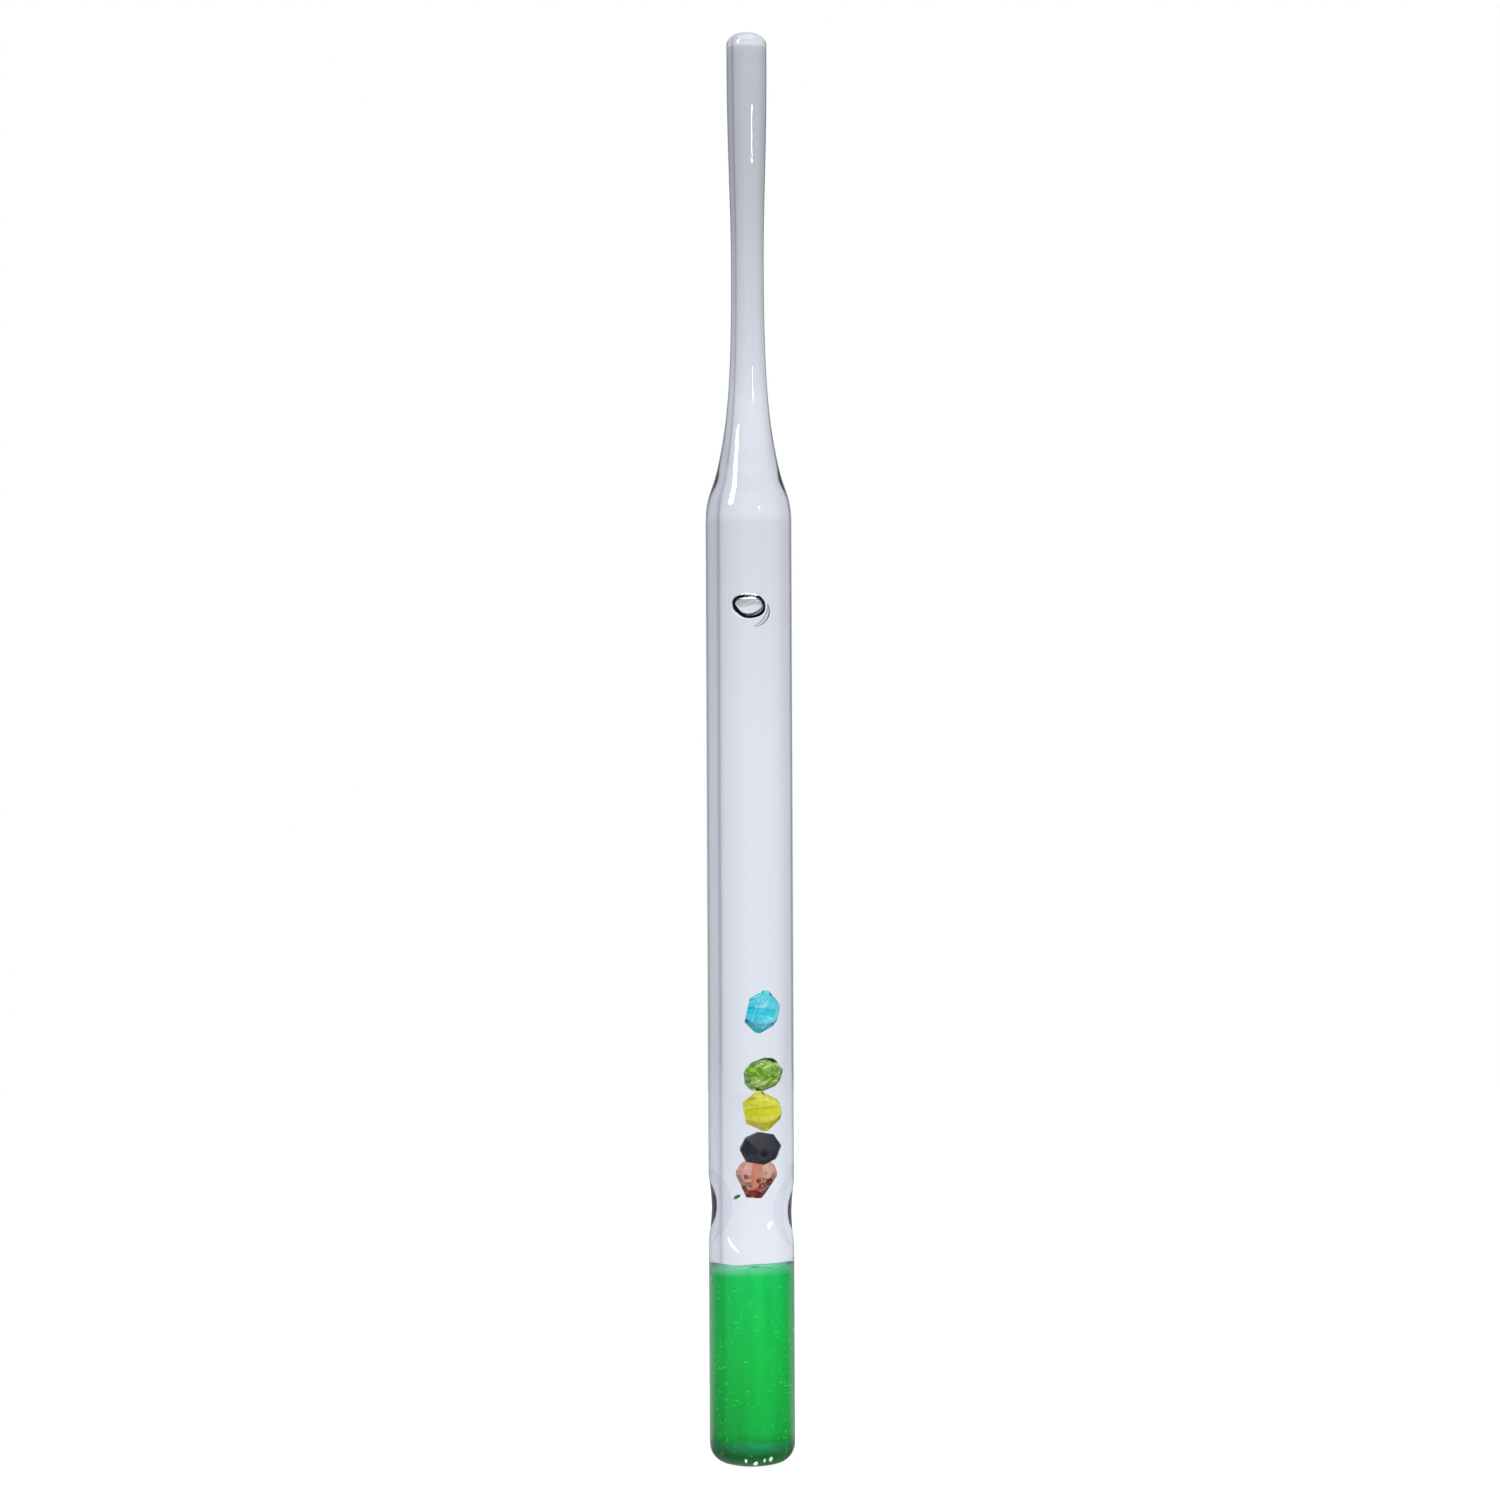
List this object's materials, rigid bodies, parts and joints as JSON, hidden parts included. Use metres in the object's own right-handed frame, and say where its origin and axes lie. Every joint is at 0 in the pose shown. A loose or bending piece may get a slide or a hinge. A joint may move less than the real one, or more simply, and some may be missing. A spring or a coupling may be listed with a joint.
{
  "type": "galileo thermometer",
  "caption": "Sealed glass tube thermometer with a drawn stem, clear liquid, faceted density beads that rise and sink, and a green resin ballast.",
  "frame": {"origin": "on the tube's axis, at the outside of the closed end", "axes": "+Z along the tube, from the resin ballast to the fused tip; -Y is the front, where the bubble and the beads lie; the two dents are at -X and +X"},
  "size_m": [0.012, 0.012, 0.2],
  "materials": {
    "clear_glass": "polished",
    "clear_liquid": "polished",
    "green_resin": "gloss",
    "blue_crystal": "polished",
    "green_crystal": "polished",
    "yellow_crystal": "polished",
    "black_crystal": "polished",
    "copper_crystal": "polished"
  },
  "bodies": {
    "glass": {"glass_envelope": "clear_glass", "liquid_fill": "clear_liquid", "ballast_plug": "green_resin", "resin_fleck": "green_resin"},
    "red": {"bead_red": "copper_crystal"},
    "black": {"bead_black": "black_crystal"},
    "yellow": {"bead_yellow": "yellow_crystal"},
    "green": {"bead_green": "green_crystal"},
    "blue": {"bead_blue": "blue_crystal"}
  },
  "joints": [
    {"name": "red_float", "type": "slide", "parent": "glass", "child": "red", "axis": [0, 0, 1], "range_m": [-0.0015, 0.013], "deforming": ["liquid_fill"]},
    {"name": "black_float", "type": "slide", "parent": "red", "child": "black", "axis": [0, 0, 1], "range_m": [0, 0.013]},
    {"name": "yellow_float", "type": "slide", "parent": "black", "child": "yellow", "axis": [0, 0, 1], "range_m": [0, 0.013]},
    {"name": "green_float", "type": "slide", "parent": "yellow", "child": "green", "axis": [0, 0, 1], "range_m": [0, 0.013]},
    {"name": "blue_float", "type": "slide", "parent": "green", "child": "blue", "axis": [0, 0, 1], "range_m": [-0.0034, 0.012]}
  ]
}
